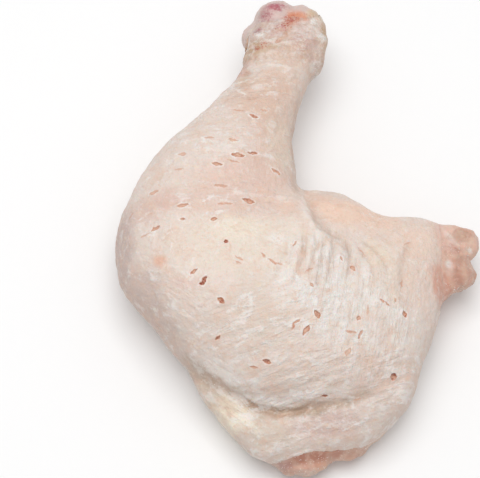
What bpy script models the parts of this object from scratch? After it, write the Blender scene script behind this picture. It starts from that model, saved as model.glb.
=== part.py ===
"""A raw chicken leg quarter, lying on its inner side with the skin up.

The drumstick points along +Y and the thigh reaches along +X, so the knee is at -X.
Three solids are made: the skin, a shell that is open where the leg was cut from the
bird and on the underside; the meat, which runs through it and swells out of those
openings; and the gristle-capped joint at the end of the shin.

Sizes are in millimetres and are turned into metres by MM. The origin is under the
middle of the leg, on the surface that it lies on.
"""

import math

import bmesh
import bpy
import numpy as np
from mathutils import Euler, Matrix, Vector, noise

MM = 0.001

# --- Driving sizes ---------------------------------------------------------------------
SKIN_THICKNESS = 2.2
PIECE_GAP = 0.45  # clear space between two pieces that touch

# The shin and its muscle, in slices across Y from the joint to inside the thigh:
# y, low x, high x, low z, high z.
DRUMSTICK = (
    (89.0, 2.8, 33.0, 15.5, 39.5),
    (84.0, 1.8, 34.4, 15.0, 39.8),
    (78.0, 1.8, 33.4, 14.8, 39.8),
    (71.7, 1.0, 31.2, 14.8, 39.2),
    (64.0, -2.2, 27.8, 14.2, 38.6),
    (57.0, -9.0, 25.8, 13.0, 39.6),
    (47.7, -16.8, 22.3, 10.0, 41.8),
    (36.7, -26.9, 20.1, 6.0, 44.6),
    (25.8, -36.4, 21.0, 2.5, 46.2),
    (12.3, -42.4, 22.0, 1.0, 46.8),
    (-2.0, -47.7, 21.0, 0.5, 46.0),
    (-16.4, -44.0, 19.0, 0.5, 43.5),
    (-30.7, -32.0, 14.0, 2.0, 38.0),
)
DRUMSTICK_ENDS = (7.0, 18.0)  # how far each end takes to round over

# The thigh, in slices across X: x, low y, high y, low z, high z.
THIGH = (
    (-49.8, -24.0, 9.0, 6.0, 30.0),
    (-41.0, -27.5, 14.3, 1.0, 39.0),
    (-31.2, -38.5, 16.4, -1.0, 44.0),
    (-21.4, -52.0, 16.4, -1.5, 46.0),
    (-7.8, -61.5, 14.0, -1.6, 47.5),
    (7.8, -67.0, 14.0, -1.6, 48.0),
    (23.4, -69.0, 18.4, -1.6, 47.5),
    (39.0, -67.5, 18.4, -1.6, 45.5),
    (54.6, -64.0, 9.4, -1.2, 41.5),
    (66.3, -59.0, 8.4, 0.5, 36.0),
    (74.1, -40.5, 8.0, 3.5, 32.0),
    (80.0, -25.0, 6.5, 6.0, 29.0),
)
THIGH_ENDS = (10.0, 6.0)

# The loose skin and lean below the thigh, in slices across X like the thigh's.
FLAP = (
    (-21.0, -57.0, -35.0, 4.0, 24.0),
    (-13.3, -65.0, -35.0, 1.5, 27.0),
    (-3.5, -78.0, -35.0, -0.5, 28.0),
    (7.8, -87.5, -36.0, -1.4, 28.0),
    (17.6, -87.3, -38.0, -1.5, 28.0),
    (31.2, -84.2, -40.0, -1.5, 28.0),
    (45.0, -82.0, -40.0, -1.0, 28.0),
    (54.6, -76.5, -40.0, 0.0, 28.5),
    (63.0, -68.0, -38.0, 1.5, 29.0),
    (70.5, -55.0, -34.0, 5.0, 29.0),
)
FLAP_ENDS = (8.0, 6.0)
SECTION_POWER = 2.25  # 2 is an ellipse, more is squarer
RING_SIDES = 40
RING_SPACING = 2.5

# Rolls of skin pushed up round the shin: middle, half sizes, turn about Z in degrees.
SKIN_ROLLS = (
    ((3.8, 67.0, 25.5), (6.0, 4.6, 8.0), 25.0),
    ((27.2, 73.5, 26.0), (6.6, 6.5, 9.0), 12.0),
    ((26.2, 87.5, 27.0), (8.0, 8.4, 9.5), -12.0),
)

# Lean that swells out of the skin where the leg was cut from the back.
HIP_LEAN = (
    ((72.0, -11.0, 16.5), (15.5, 15.5, 11.5), 0.0),
    ((79.5, -4.0, 17.5), (9.0, 10.8, 9.5), 0.0),
    ((86.6, -1.6, 18.0), (6.2, 6.2, 6.6), 0.0),
    ((83.8, -13.5, 16.0), (7.4, 6.2, 7.6), 0.0),
    ((75.0, -19.5, 14.5), (6.0, 8.5, 8.0), -20.0),
)
# Lean that shows under the skin's lower edge.
EDGE_LEAN = (
    ((22.0, -79.8, 8.5), (15.0, 12.2, 8.5), -4.0),
    ((39.5, -76.4, 8.5), (12.0, 9.8, 8.5), 14.0),
    ((49.5, -72.4, 9.0), (6.8, 7.2, 7.6), 35.0),
)
# Bare lean on the inner side of the thigh, which faces down.
UNDERSIDE_LEAN = (
    ((12.0, -31.0, 2.5), (31.0, 23.0, 8.5), -12.0),
    ((38.0, -38.0, 2.5), (26.0, 22.0, 8.5), 28.0),
    ((52.0, -22.0, 2.5), (15.0, 12.0, 8.5), -20.0),
)

# The gristle caps of the joint, and the stub of bone behind them.
JOINT_CAPS = (
    ((14.8, 90.2, 28.0), (9.0, 8.3, 10.0), 15.0),
    ((6.4, 84.6, 24.5), (6.0, 6.0, 7.4), 0.0),
    ((25.0, 90.0, 27.5), (7.6, 7.2, 9.0), -20.0),
    ((18.5, 81.0, 27.0), (8.5, 11.0, 8.0), 0.0),
)

# Folds pressed into the skin: a run of x, y points, how deep it starts and ends, and how
# far it reaches to the left and to the right of the run.
FOLD_FADE = 0.25  # share of its length in which a fold comes and goes
FOLDS = (
    # the web of thigh skin lies lower than the shin muscle beside it
    (((21.0, 36.0), (22.5, 22.0), (25.5, 11.0), (30.0, 2.0), (38.0, -7.0), (50.0, -24.0)),
     9.5, 2.0, 26.0, 3.5),
    # the loose skin hangs from under the swell of the thigh
    (((-25.0, -52.0), (-15.6, -57.0), (-3.5, -64.5), (8.6, -71.0), (22.6, -72.3),
      (38.0, -69.5), (56.0, -64.0)), 4.2, 1.5, 4.5, 10.0),
)
UPPER_SIDE = 1.6  # how soon the folds reach full depth as the skin turns to face up
LUMP_HEIGHT = 1.6  # of the flesh's unevenness
LUMP_LENGTH = 21.0

# --- Resolution: voxel size, rounds of smoothing, and triangles that are kept -------------
SKIN_DETAIL = (1.8, 8, 3250)
LEAN_DETAIL = (1.4, 4, 1400)
JOINT_DETAIL = (1.0, 4, 760)


def clear_scene():
    for old in list(bpy.data.objects):
        bpy.data.objects.remove(old, do_unlink=True)


def collection_named(name, hidden=False):
    made = bpy.data.collections.new(name)
    bpy.context.scene.collection.children.link(made)
    made.hide_render = hidden
    return made


def make_material(name, colour, roughness):
    material = bpy.data.materials.new(name)
    material.use_nodes = True
    shader = material.node_tree.nodes["Principled BSDF"]
    shader.inputs["Base Color"].default_value = (*colour, 1.0)
    shader.inputs["Roughness"].default_value = roughness
    shader.inputs["Metallic"].default_value = 0.0
    return material


# --- Making rounded bodies -----------------------------------------------------------------
def smooth_rows(rows, spacing):
    """Rows of numbers blended along a smooth curve, about `spacing` apart in the first."""
    rows = np.array(rows, float)
    padded = np.vstack([2 * rows[0] - rows[1], rows, 2 * rows[-1] - rows[-2]])
    made = []
    for i in range(1, len(padded) - 2):
        before, start, end, after = padded[i - 1 : i + 3]
        steps = max(1, round(abs(end[0] - start[0]) / spacing))
        for step in range(steps):
            t = step / steps
            made.append(
                start
                + 0.5 * t * (end - before)
                + t * t * (before - 2.5 * start + 2 * end - 0.5 * after)
                + t * t * t * (1.5 * (start - end) + 0.5 * (after - before))
            )
    made.append(rows[-1])
    return np.array(made)


def end_rounding(distance, ends):
    """How much each ring shrinks so that both ends close in a rounded cap."""
    total = distance[-1]
    share = np.ones(len(distance))
    for reach, from_end in ((ends[0], distance), (ends[1], total - distance)):
        inside = np.clip(1 - from_end / reach, 0, 1)
        share *= np.sqrt(np.clip(1 - inside**2, 0, 1))
    return np.clip(share, 0.02, 1)


def ring_points(centre, across, up, half_width, half_height):
    """One closed section, squarer than an ellipse."""
    points = []
    for i in range(RING_SIDES):
        turn = 2 * math.pi * i / RING_SIDES
        side, rise = math.cos(turn), math.sin(turn)
        side = math.copysign(abs(side) ** (2 / SECTION_POWER), side)
        rise = math.copysign(abs(rise) ** (2 / SECTION_POWER), rise)
        points.append(centre + across * side * half_width + up * rise * half_height)
    return points


def add_loft(mesh, rings):
    """Rings joined into one closed tube."""
    loops = [[mesh.verts.new(point * MM) for point in ring] for ring in rings]
    for first, second in zip(loops, loops[1:]):
        for i in range(RING_SIDES):
            j = (i + 1) % RING_SIDES
            mesh.faces.new((first[i], first[j], second[j], second[i]))
    mesh.faces.new(list(reversed(loops[0])))
    mesh.faces.new(loops[-1])


def slice_rings(slices, ends, axis):
    """Rings square to the axis, 0 for X or 1 for Y, each given by its lowest and highest
    place across the leg and up it."""
    along = Vector((1, 0, 0)) if axis == 0 else Vector((0, 1, 0))
    across = Vector((0, 1, 0)) if axis == 0 else Vector((1, 0, 0))
    up = Vector((0, 0, 1))
    rows = smooth_rows(slices, RING_SPACING)
    share = end_rounding(np.abs(rows[:, 0] - rows[0, 0]), ends)
    rings = []
    for (place, low, high, bottom, top), size in zip(rows, share):
        centre = along * place + across * (low + high) / 2 + up * (bottom + top) / 2
        half_width = (high - low) / 2 * size
        half_height = (top - bottom) / 2 * size
        rings.append(ring_points(centre, across, up, half_width, half_height))
    return rings


def add_ellipsoid(mesh, centre, half_sizes, turn):
    place = Matrix.LocRotScale(
        Vector(centre) * MM, Euler((0, 0, math.radians(turn))), Vector(half_sizes) * MM
    )
    bmesh.ops.create_uvsphere(mesh, u_segments=28, v_segments=18, radius=1.0, matrix=place)


def body_object(name, collection, rings=(), ellipsoids=()):
    """One object that holds overlapping closed bodies, ready to be fused."""
    mesh = bmesh.new()
    for loft in rings:
        add_loft(mesh, loft)
    for centre, half_sizes, turn in ellipsoids:
        add_ellipsoid(mesh, centre, half_sizes, turn)
    bmesh.ops.recalc_face_normals(mesh, faces=mesh.faces)
    data = bpy.data.meshes.new(name)
    mesh.to_mesh(data)
    mesh.free()
    made = bpy.data.objects.new(name, data)
    collection.objects.link(made)
    return made


# --- Modifiers, applied ---------------------------------------------------------------------
def apply_modifiers(body):
    graph = bpy.context.evaluated_depsgraph_get()
    graph.update()
    data = bpy.data.meshes.new_from_object(body.evaluated_get(graph))
    body.modifiers.clear()
    body.data = data


def fuse(body, voxel, rounds):
    """Overlapping bodies become one, and the joins between them are rounded."""
    remesh = body.modifiers.new("Fuse", "REMESH")
    remesh.mode = "VOXEL"
    remesh.voxel_size = voxel * MM
    soften = body.modifiers.new("Soften", "SMOOTH")
    soften.factor = 0.5
    soften.iterations = rounds
    apply_modifiers(body)


def thin_out(body, triangles):
    count = sum(len(face.vertices) - 2 for face in body.data.polygons)
    reduce = body.modifiers.new("Thin", "DECIMATE")
    reduce.ratio = min(1.0, triangles / count)
    reduce.use_collapse_triangulate = True
    apply_modifiers(body)


def swell(body, distance):
    """Moves the whole surface out, or in if the distance is negative."""
    push = body.modifiers.new("Swell", "DISPLACE")
    push.mid_level = 0.0
    push.strength = distance * MM
    apply_modifiers(body)


def copy_of(body, name, collection):
    made = body.copy()
    made.data = body.data.copy()
    made.name = name
    collection.objects.link(made)
    return made


def cut_flat(body):
    """Cuts the body off at the surface that it lies on."""
    mesh = bmesh.new()
    mesh.from_mesh(body.data)
    everything = mesh.verts[:] + mesh.edges[:] + mesh.faces[:]
    cut = bmesh.ops.bisect_plane(
        mesh, geom=everything, plane_co=(0, 0, 0), plane_no=(0, 0, -1), clear_outer=True
    )
    rim = [item for item in cut["geom_cut"] if isinstance(item, bmesh.types.BMEdge)]
    bmesh.ops.holes_fill(mesh, edges=rim)
    bmesh.ops.triangulate(mesh, faces=mesh.faces)
    mesh.to_mesh(body.data)
    mesh.free()


# --- Relief ---------------------------------------------------------------------------------
def place_by_run(points, run):
    """How far each point lies from a run of straight stretches in plan, whether it is on
    the left of it, and how far along it is, from 0 to 1."""
    run = np.array(run)
    steps = np.diff(run, axis=0)
    lengths = np.linalg.norm(steps, axis=1)
    nearest = np.full(len(points), np.inf)
    left = np.zeros(len(points), bool)
    along = np.zeros(len(points))
    for i, (start, step, length) in enumerate(zip(run[:-1], steps, lengths)):
        offset = points[:, :2] - start
        share = np.clip((offset @ step) / length**2, 0, 1)
        gap = np.linalg.norm(offset - share[:, None] * step, axis=1)
        closer = gap < nearest
        nearest[closer] = gap[closer]
        left[closer] = (step[0] * offset[:, 1] - step[1] * offset[:, 0] > 0)[closer]
        along[closer] = ((lengths[:i].sum() + share * length) / lengths.sum())[closer]
    return nearest, left, along


def add_relief(body):
    """Presses the folds into the upper side, and makes the flesh a little uneven."""
    data = body.data
    points = np.empty(len(data.vertices) * 3)
    normals = np.empty(len(data.vertices) * 3)
    data.vertices.foreach_get("co", points)
    data.vertices.foreach_get("normal", normals)
    points = points.reshape(-1, 3) / MM
    normals = normals.reshape(-1, 3)
    facing_up = np.clip(normals[:, 2] * UPPER_SIDE, 0, 1)
    moved = points.copy()
    for run, first_depth, last_depth, left_reach, right_reach in FOLDS:
        gap, left, along = place_by_run(points, run)
        reach = np.where(left, left_reach, right_reach)
        depth = first_depth + (last_depth - first_depth) * along
        fade = np.clip(np.minimum(along, 1 - along) / FOLD_FADE, 0, 1)
        depth *= fade**2 * (3 - 2 * fade)
        moved[:, 2] -= depth * np.exp(-((gap / reach) ** 2)) * facing_up
    lumps = np.array([noise.noise(Vector(point) / LUMP_LENGTH) for point in points])
    moved += normals * (lumps * LUMP_HEIGHT)[:, None]
    data.vertices.foreach_set("co", (moved * MM).ravel())
    data.update()


# --- Pieces ---------------------------------------------------------------------------------
def make_outer_form(helpers):
    """The leg as it looks with its skin on, as one closed body."""
    voxel, rounds, triangles = SKIN_DETAIL
    outer = body_object(
        "outer_form",
        helpers,
        rings=(
            slice_rings(DRUMSTICK, DRUMSTICK_ENDS, axis=1),
            slice_rings(THIGH, THIGH_ENDS, axis=0),
            slice_rings(FLAP, FLAP_ENDS, axis=0),
        ),
        ellipsoids=SKIN_ROLLS,
    )
    fuse(outer, voxel, rounds)
    add_relief(outer)
    thin_out(outer, triangles)
    return outer


def fused_ellipsoids(name, ellipsoids, detail, helpers):
    voxel, rounds, triangles = detail
    made = body_object(name, helpers, ellipsoids=ellipsoids)
    fuse(made, voxel, rounds)
    thin_out(made, triangles)
    return made


def resized_copy(body, name, distance, helpers):
    """A copy whose surface lies further out or in by the same distance all over."""
    made = copy_of(body, name, helpers)
    swell(made, distance)
    return made


def combine(body, other, operation):
    change = body.modifiers.new(operation.title() + " " + other.name, "BOOLEAN")
    change.operation = operation
    change.solver = "EXACT"
    change.object = other
    apply_modifiers(body)


def drop_scraps(body):
    """Keeps the largest of the bodies that a cut left."""
    mesh = bmesh.new()
    mesh.from_mesh(body.data)
    unseen = set(mesh.verts)
    groups = []
    while unseen:
        group, todo = [], [unseen.pop()]
        while todo:
            vert = todo.pop()
            group.append(vert)
            for edge in vert.link_edges:
                other = edge.other_vert(vert)
                if other in unseen:
                    unseen.remove(other)
                    todo.append(other)
        groups.append(group)
    groups.sort(key=len)
    for group in groups[:-1]:
        bmesh.ops.delete(mesh, geom=group, context="VERTS")
    mesh.to_mesh(body.data)
    mesh.free()


def finish_piece(body, name, collection, material):
    made = copy_of(body, name, collection)
    made.data.name = name
    made.data.materials.clear()
    made.data.materials.append(material)
    made.data.shade_smooth()
    return made


def centre_on_origin(pieces):
    """Moves the pieces so that the origin is under the middle of the leg."""
    points = np.vstack([[vert.co for vert in piece.data.vertices] for piece in pieces])
    low, high = points.min(axis=0), points.max(axis=0)
    shift = Vector((-(low[0] + high[0]) / 2, -(low[1] + high[1]) / 2, -low[2]))
    for piece in pieces:
        piece.data.transform(Matrix.Translation(shift))


def main():
    clear_scene()
    leg = collection_named("chicken_leg_quarter")
    helpers = collection_named("helpers", hidden=True)
    skin_finish = make_material("raw_skin", (0.86, 0.74, 0.65), 0.5)
    lean_finish = make_material("raw_lean", (0.78, 0.50, 0.43), 0.4)
    gristle_finish = make_material("gristle", (0.80, 0.66, 0.64), 0.35)

    outer = make_outer_form(helpers)
    lean_swellings = HIP_LEAN + EDGE_LEAN + UNDERSIDE_LEAN
    swellings = fused_ellipsoids("swellings", lean_swellings, LEAN_DETAIL, helpers)
    joint = fused_ellipsoids("joint_form", JOINT_CAPS, JOINT_DETAIL, helpers)
    skin_lining = resized_copy(outer, "skin_lining", -SKIN_THICKNESS, helpers)
    lean = resized_copy(outer, "lean_form", -SKIN_THICKNESS - PIECE_GAP, helpers)
    swellings_cutter = resized_copy(swellings, "swellings_cutter", PIECE_GAP, helpers)
    joint_cutter = resized_copy(joint, "joint_cutter", PIECE_GAP, helpers)

    cut_flat(outer)
    for cutter in (skin_lining, swellings_cutter, joint_cutter):
        combine(outer, cutter, "DIFFERENCE")
    drop_scraps(outer)

    combine(lean, swellings, "UNION")
    cut_flat(lean)
    combine(lean, joint_cutter, "DIFFERENCE")
    drop_scraps(lean)

    pieces = [
        finish_piece(outer, "skin", leg, skin_finish),
        finish_piece(lean, "meat", leg, lean_finish),
        finish_piece(joint, "hock_joint", leg, gristle_finish),
    ]
    centre_on_origin(pieces)
    for helper in list(helpers.objects):
        bpy.data.objects.remove(helper)


main()
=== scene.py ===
"""The looks of a raw, lightly frosted chicken leg quarter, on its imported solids.

The file is laid out as a Blender add-on and is run as a script. Places and sizes in the
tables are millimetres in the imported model's frame, and colours are sRGB in hexadecimal.
"""

import functools
import itertools
import math

import bmesh
import bpy
import numpy as np
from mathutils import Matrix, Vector
from mathutils.bvhtree import BVHTree


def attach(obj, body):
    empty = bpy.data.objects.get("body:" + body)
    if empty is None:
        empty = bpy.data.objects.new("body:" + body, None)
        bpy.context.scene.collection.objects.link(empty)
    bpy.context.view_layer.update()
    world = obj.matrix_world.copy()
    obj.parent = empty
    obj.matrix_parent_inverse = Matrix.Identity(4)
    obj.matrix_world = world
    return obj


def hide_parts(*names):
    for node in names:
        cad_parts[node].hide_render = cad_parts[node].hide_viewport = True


bl_info = {
    "name": "Chicken leg quarter",
    "version": (1, 0, 0),
    "blender": (4, 5, 0),
    "location": "View3D > Sidebar > Leg quarter",
    "description": "Skin, lean, gristle and frost of a raw chicken leg quarter",
    "category": "Object",
}

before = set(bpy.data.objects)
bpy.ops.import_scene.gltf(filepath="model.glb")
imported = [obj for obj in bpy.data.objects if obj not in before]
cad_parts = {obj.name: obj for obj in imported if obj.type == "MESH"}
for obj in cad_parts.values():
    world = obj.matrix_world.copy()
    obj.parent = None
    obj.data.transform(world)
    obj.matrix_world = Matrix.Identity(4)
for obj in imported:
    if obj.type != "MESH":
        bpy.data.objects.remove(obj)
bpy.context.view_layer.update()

MM = 0.001
PER_MM = 1000.0  # a texture's scale for patches of one millimetre

# --- Colours ---
COLOURS = {
    "skin": "E1D1C7", "cream": "E4D6C8", "butter": "E9D9C2", "pale butter": "F6EAD6",
    "white": "EFEAE6", "pearl": "E2DBD5", "pink": "DDBEB0", "rose": "D3AA9D", "shin": "D5B8A7",
    "sand": "D2C3B5", "violet grey": "C5AFA8", "cool grey": "CFC4BC", "peach": "ECCCB8",
    "tan": "B09B87", "clay": "B8957F", "biscuit": "D3B299", "apricot": "E2A27E", "lean": "D2A693",
    "lean dark": "AE7966", "lean pale": "E3C2B1", "fat": "E6D3BE", "gristle": "D3BDB6",
    "blood": "B0402F", "magenta": "AE5A66", "plum": "8E6266", "mauve": "CFB5AE", "straw": "BE9C78",
    "orange": "D98F6C", "bruise and shade": "B58E85", "fringe": "DDB8A9", "salmon": "DC9C85",
    "slit fill": "D9A88E", "slit": "BF7D5C", "slit deep": "9E4530",
}

# --- Marks ---
# Small slits and pits: x, y, half length, half width, turn, depth, and how dark inside.
PRICKS = (
    (-33.8, 27.9, 2, 0.44, -3, 0.5, 0.35), (-24.6, 26.7, 2.1, 0.5, -8, 0.7, 0.45),
    (-22.7, 20.3, 2.5, 0.8, -4, 1.2, 0.8), (-17.1, 21.8, 2.1, 0.6, 6, 1, 0.75),
    (-24.6, 17.8, 2.5, 0.26, -12, 0.5, 0.4), (-30.6, 16.3, 2.1, 0.6, -2, 0.9, 0.6),
    (-44.2, 21.6, 1.8, 0.6, -2, 0.5, 0.35), (-45.1, 15.2, 2, 0.4, 3, 0.4, 0.3),
    (-29.2, 7.5, 2.7, 0.48, 0, 0.6, 0.45), (-54.7, 6.5, 2, 0.6, 8, 0.6, 0.4),
    (-43.6, -0.3, 2.3, 0.6, 5, 0.8, 0.55), (-27.6, 0, 2.9, 0.3, 0, 0.5, 0.5),
    (-18.9, 2.1, 2.5, 0.8, -10, 1.1, 0.7), (-43.6, -6, 1, 0.4, 0, 0.7, 0.6),
    (-31.7, -6.3, 1.2, 0.6, 10, 0.9, 0.8), (-54, -8.9, 2, 0.72, 28, 0.9, 0.6),
    (-27.2, -15.8, 0.8, 0.72, 0, 1.2, 0.95), (-22.3, -22.6, 1.8, 0.28, -30, 0.4, 0.4),
    (-13.4, -21.1, 1.6, 0.28, -60, 0.4, 0.4), (-16.6, 38.4, 1.8, 0.52, -5, 0.9, 0.7),
    (-22.7, 41.2, 2.3, 0.26, -10, 0.4, 0.35), (-17.7, 46.7, 2.1, 0.36, -2, 0.4, 0.3),
    (-13, 41.5, 1.2, 0.3, 0, 0.4, 0.35), (-63.6, -0.6, 1.8, 0.4, 28, 0.4, 0.3),
    (-57.8, -10.9, 2.1, 0.4, 18, 0.4, 0.3), (-8.2, 16.3, 2.1, 0.72, -15, 0.9, 0.6),
    (-1.5, -16.3, 1.2, 0.36, 65, 0.6, 0.5), (-13, -21.1, 1.2, 0.32, -50, 0.5, 0.45),
    (-10.1, -23.8, 2, 0.36, -35, 0.6, 0.5), (-7.5, -24.6, 1.2, 0.3, -10, 0.5, 0.45),
    (3.7, -27.1, 1.6, 0.32, 28, 0.5, 0.4), (4.7, -33, 1, 0.48, -60, 0.7, 0.55),
    (15.8, -21.9, 1, 0.3, -62, 0.6, 0.5), (20.2, -25.3, 1.4, 0.6, -58, 0.9, 0.6),
    (24, -17, 2, 0.24, -58, 0.4, 0.35), (-39.1, -27.7, 1.6, 0.44, 35, 0.9, 0.7),
    (-35.3, -31, 1.6, 0.8, 60, 1.4, 0.95), (-36.1, -32.5, 1, 0.68, 15, 1.4, 0.95),
    (-29.1, -39, 1.6, 0.68, -42, 1.3, 0.9), (-30.3, -51.7, 1.3, 0.52, 45, 1.2, 0.95),
    (-16.8, -62.5, 1.6, 0.44, -8, 0.7, 0.6), (-22.7, -24.2, 1.2, 0.28, -25, 0.4, 0.4),
    (6.5, -43.9, 1.8, 0.88, -60, 1.3, 0.7), (2.3, -49.9, 2.3, 0.88, 60, 1.2, 0.65),
    (-2.3, -48.5, 1.6, 0.36, 75, 0.7, 0.6), (-1, -47, 1.6, 0.36, 40, 0.7, 0.6),
    (-12.2, -60.8, 1.6, 0.8, -25, 1.4, 0.9), (9.3, -70.3, 1.6, 0.72, -15, 1.3, 0.8),
    (7, -69.9, 2, 0.24, -10, 0.4, 0.1), (35.3, -63.3, 1.4, 1.36, 0, 1.6, 0.8),
    (21.9, -44.6, 0.9, 0.8, 70, 0.9, 0.6), (19.1, -49.6, 2, 0.3, -10, 0.5, 0.45),
    (22.4, -50.4, 1.8, 0.52, 70, 0.8, 0.5), (17.9, -56.8, 1.8, 0.72, 65, 0.8, 0.35),
    (25.5, -41.5, 1.8, 0.28, 88, 0.4, 0.4), (30.9, -37.4, 1, 0.32, -30, 0.6, 0.6),
    (32.8, -38.3, 1, 0.32, -30, 0.6, 0.6), (35.9, -36.4, 0.8, 0.32, -60, 0.5, 0.5),
    (39.7, -41, 1.4, 0.88, -50, 1.3, 0.75), (38.9, -29.4, 2, 0.28, 80, 0.4, 0.4),
    (41.6, -11.4, 1.8, 0.28, 40, 0.4, 0.3), (21.7, -71.1, 1.6, 0.26, 15, 0.3, 0.25),
)
# Wrinkles and ridges: run of x, y points, half width, and height, below 0 for a furrow.
WRINKLES = (
    (((-4.6, -14), (-4.6, -17.6), (-5.8, -22.7), (-8.6, -28.5), (-10.5, -33)), 0.8, -0.35),
    (((1.7, -9.6), (2.4, -13.1), (1.4, -22.3), (-0.6, -28.1), (-2.5, -34)), 0.8, -0.7),
    (((6.4, -12), (6.8, -17), (5, -24), (3.2, -31)), 0.7, -0.45),
    (((9.2, -11.6), (9.6, -14.7), (8.2, -23.8), (6.6, -32), (5.5, -38)), 0.8, -0.75),
    (((13, -12.2), (13.2, -16.6), (11.6, -26.7), (9.6, -36.5)), 0.75, -0.7),
    (((17.6, -12), (18.6, -15.4), (19.2, -23), (18.2, -31.6)), 0.85, -0.7),
    (((21.4, -11.8), (24.2, -16), (27.4, -23.1), (28.4, -31.7)), 0.8, -0.45),
    (((24, -10.6), (28, -15), (32, -20.5), (34.5, -27)), 1, -0.6),
    (((-1.2, -12), (-1.4, -18), (-3.2, -25), (-6, -32)), 1.3, 0.35),
    (((4.4, -10.6), (4.8, -16), (3.4, -24), (1.4, -31)), 1.3, 0.4),
    (((11.3, -12), (11.5, -17), (9.8, -26), (8, -35)), 1.1, 0.4),
    (((15.4, -12), (16, -17), (15.2, -26), (13.4, -35)), 1.4, 0.45),
    (((20, -12), (22, -17), (24, -25), (24, -33)), 1.3, 0.3),
    (((-2, 29.8), (0, 20), (1.4, 13.6), (3.1, -1.6), (6.3, -9.1), (10.3, -13.2),
      (17.7, -13.9)), 2.2, 0.7),
    (((3.5, 14), (5.6, 0), (9, -7), (14, -10.6), (22, -11)), 2.2, -0.7),
    (((-41.7, -56.7), (-37, -60.9), (-31, -64.9), (-25.3, -67.8), (-19.3, -71), (-13.8, -74.7),
      (-8.2, -75.9), (-1.1, -75.1), (4.9, -73.2), (11.6, -72.5), (18.3, -71.8), (24, -69.8),
      (28.5, -66)), 1.3, -1.3),
    (((-40, -54), (-31, -61.5), (-19.3, -67.6), (-8.2, -72.5), (4.9, -70.2), (18.3, -69),
      (26, -65.6)), 2.6, 0.7),
    (((-34.9, -68.5), (-29.5, -72.7), (-22, -75.4), (-16, -76.1)), 0.9, -0.35),
    (((-13.8, -72.7), (-6.3, -71.5), (1, -70), (9.1, -67.8)), 0.8, -0.4),
    (((-13.8, -70.7), (-5.7, -70), (2.4, -68), (9.8, -65.5)), 0.8, -0.4),
    (((-8.9, -73.8), (-0.3, -72.6), (8.5, -70.7), (17.1, -68.2)), 0.7, -0.4),
    (((-19.7, -68.5), (-12.3, -69.1), (-4.2, -68.3), (2.4, -66.2)), 0.8, -0.35),
    (((-27.6, -65.2), (-20.9, -67.4), (-13.8, -68.4)), 0.8, -0.4),
    (((-22.5, 67), (-18.8, 67.4), (-13.3, 66.7)), 1.1, -0.8),
    (((-21.5, 61), (-18, 61.4), (-12.5, 60.8)), 1, -0.7),
    (((-27.5, 55.2), (-19.6, 54.5), (-13.4, 54.9)), 0.9, -0.5),
    (((-29, 47.9), (-19.6, 48.1), (-10.3, 47.8)), 0.9, -0.3),
    (((39.9, -8), (42.7, -11.7), (39.5, -20.4), (38.4, -31.9), (39.4, -37.6)), 1.4, -0.5),
)
# Swellings and dents of the outline: x, y, z, reach and height.
BULGES = (
    (13, 77.5, 31, 3.6, 1.2), (11, 66.8, 30, 2.6, 0.7), (-19.6, 75.5, 30, 3.4, -0.9),
    (-17.6, 70, 30, 2.6, 0.9), (54.5, 1.6, 27, 4, 1.3), (68, -7, 18, 5, 0.7),
    (67, -19, 15, 4.5, 0.7), (67, -12, 12, 3.2, -0.9), (0.6, 89.4, 33, 2.2, -1.2),
    (6.4, 89.2, 33, 2.6, 0.5),
)
# Ways in which fine streaks run over the skin, in degrees.
STREAK_WAYS = {"level": 0.0, "upright": 82.0, "slant": 18.0, "fall": -38.0}
# Patches of fine streaks: way, x, y, half length, half width, spacing and height.
STREAKS = (
    ("level", -27, 3, 36, 11, 2, 0.2), ("level", -18, 58, 22, 18, 2.2, 0.3),
    ("level", -24, 28, 34, 16, 2.6, 0.18), ("upright", 10, -28, 26, 18, 2.6, 0.45),
    ("upright", 26, -48, 26, 20, 2.4, 0.3), ("upright", 44, -20, 30, 10, 2.8, 0.12),
    ("slant", -2, -66, 34, 10, 2, 0.4), ("slant", -12, -44, 34, 16, 2.6, 0.32),
    ("slant", 6, -84, 40, 9, 2.4, 0.22), ("slant", 38, -66, 18, 14, 2.2, 0.3),
    ("fall", -30, -68, 22, 9, 2.2, 0.3), ("fall", -52, -36, 24, 16, 2.4, 0.2),
    ("level", 0, 76, 20, 12, 2.4, 0.25),
)
# Places where the skin needs a finer mesh: x, y, half length, half width, turn, longest edge.
FINE_ZONES = (
    (9, -22, 23, 17, 0, 0.72), (-10, -72, 44, 9, 6, 1), (-2, 78, 19, 13, 0, 0.8),
    (-20, 60, 9, 12, 0, 1), (54, -20, 6, 28, 0, 1),
)
# Where loose frost lies: x, y, half length, half width, turn, amount.
FROST_PLACES = (
    (8.5, 83, 3.5, 2.6, 0, 0.7), (10.8, 77.5, 2.6, 2.2, 0, 0.7), (-14.9, 52.4, 3.5, 2, 10, 0.5),
    (8, 64.7, 2.5, 3, 30, 0.5), (-13.5, 74, 2.5, 1.8, 0, 0.5), (62, -27, 5, 4, 40, 1),
    (64, -9.5, 4, 2.5, 10, 0.4), (58, -10, 2.5, 8, 0, 0.25), (4, -92, 16, 3, 4, 0.3),
    (22, -86.5, 9, 2.5, 12, 0.25), (35.3, -63.3, 2.4, 2.4, 0, 0.3), (-34, -62, 5, 2.5, -35, 0.3),
)
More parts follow.
